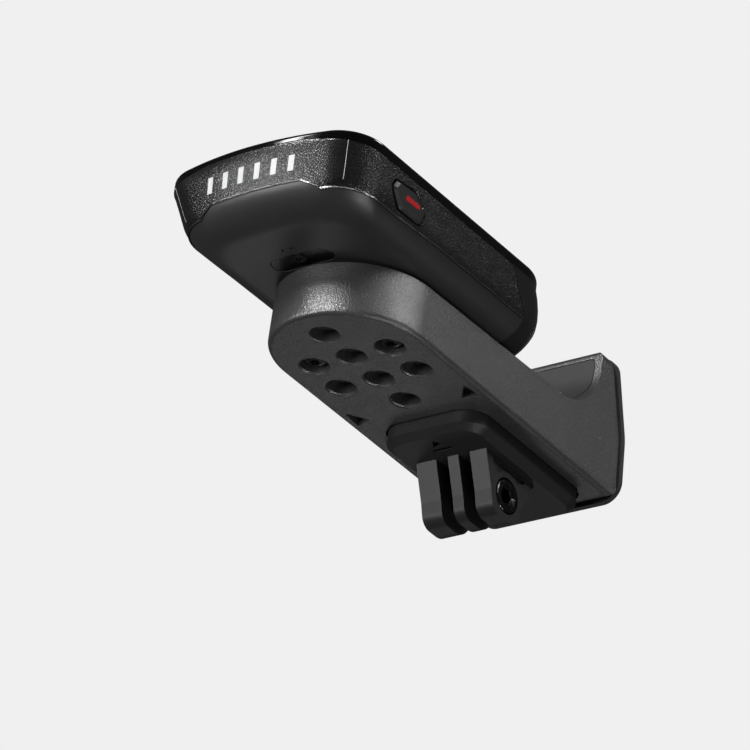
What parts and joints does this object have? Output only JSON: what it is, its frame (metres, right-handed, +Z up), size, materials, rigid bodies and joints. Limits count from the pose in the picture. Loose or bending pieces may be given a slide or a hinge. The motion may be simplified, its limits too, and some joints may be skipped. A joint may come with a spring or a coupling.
{
  "type": "cycling computer",
  "caption": "Cycling computer with a touch display and keys, locked by a quarter turn on an out-front handlebar mount with a camera adapter underneath.",
  "frame": {"origin": "centre of the two bar bolts, on the face that meets the handlebar", "axes": "+Y along the bar bolts towards the rider, +Z up, +X to the rider's left"},
  "size_m": [0.0568, 0.1334, 0.0543],
  "materials": {
    "arm_plastic": "fine-grained moulded plastic",
    "cover_plastic": "fine-grained moulded plastic",
    "pad_rubber": "smooth rubber",
    "bolt_steel": "black oxide",
    "cap_steel": "glossy black",
    "adapter_plastic": "satin",
    "insert_plastic": "satin",
    "bush_brass": "turned",
    "band_plastic": "coarse speckled texture",
    "shell_plastic": "smooth satin",
    "cap_plastic": "satin gloss",
    "bezel_gloss": "high gloss",
    "lens_glass": "polished",
    "display_dark": "display surface",
    "guide_clear": "clear light guide",
    "key_plastic": "satin",
    "key_red": "red inlay",
    "flap_rubber": "smooth rubber",
    "board_green": "solder mask",
    "metal_can": "tinned",
    "cell_foil": "pouch foil",
    "ceramic": "ceramic"
  },
  "bodies": {
    "mount": {"mount_arm": "arm_plastic", "bolt_cover": "cover_plastic", "bar_pad": "pad_rubber", "bar_bolts": "bolt_steel", "adapter_plate": "adapter_plastic", "adapter_screws": "bolt_steel", "cross_bolt": "cap_steel", "cross_nut": "bolt_steel", "twist_lock_insert": "insert_plastic", "threaded_bushes": "bush_brass", "insert_screws": "bolt_steel"},
    "computer": {"quarter_turn_boss": "insert_plastic", "boss_screws": "bolt_steel", "top_bezel": "bezel_gloss", "cover_glass": "lens_glass", "glass_adhesive": "pad_rubber", "upper_case": "band_plastic", "lower_shell": "shell_plastic", "rear_end_cap": "cap_plastic", "case_seal": "flap_rubber", "display_panel": "display_dark", "light_guide": "guide_clear", "display_carrier": "insert_plastic", "main_board": "board_green", "board_screws": "bolt_steel", "board_standoffs": "insert_plastic", "battery": "cell_foil", "gps_antenna": "ceramic", "shield_can": "metal_can", "usb_port": "metal_can", "buzzer": "bush_brass", "pressure_sensor": "metal_can", "power_switch": "metal_can", "rear_switches": "metal_can"},
    "power_key": {"power_button": "key_plastic", "power_button_bar": "key_red"},
    "lap_key": {"lap_button": "key_plastic"},
    "start_key": {"start_button": "key_plastic"},
    "usb_door": {"usb_flap": "flap_rubber"}
  },
  "joints": [
    {"name": "twist_lock_turn", "type": "hinge", "parent": "mount", "child": "computer", "pos_m": [0, -0.07834, -0.0153], "axis": [0, -0.014, 0.9999], "range_deg": [0, 90]},
    {"name": "power_press", "type": "slide", "parent": "computer", "child": "power_key", "axis": [-0.9724, -0.0033, 0.2334], "range_m": [0, 0.0004], "stiffness_N_per_m": 1500, "springref_m": -0.0006},
    {"name": "lap_press", "type": "slide", "parent": "computer", "child": "lap_key", "axis": [0, -0.9999, -0.014], "range_m": [0, 0.0005], "stiffness_N_per_m": 1500, "springref_m": -0.0006},
    {"name": "start_press", "type": "slide", "parent": "computer", "child": "start_key", "axis": [0, -0.9999, -0.014], "range_m": [0, 0.0005], "stiffness_N_per_m": 1500, "springref_m": -0.0006},
    {"name": "usb_flap_swing", "type": "hinge", "parent": "computer", "child": "usb_door", "pos_m": [-0.0015, -0.09661, -0.01026], "axis": [1, 0, 0], "range_deg": [0, 30], "stiffness_Nm_per_rad": 0.001, "springref_deg": -5.73}
  ]
}
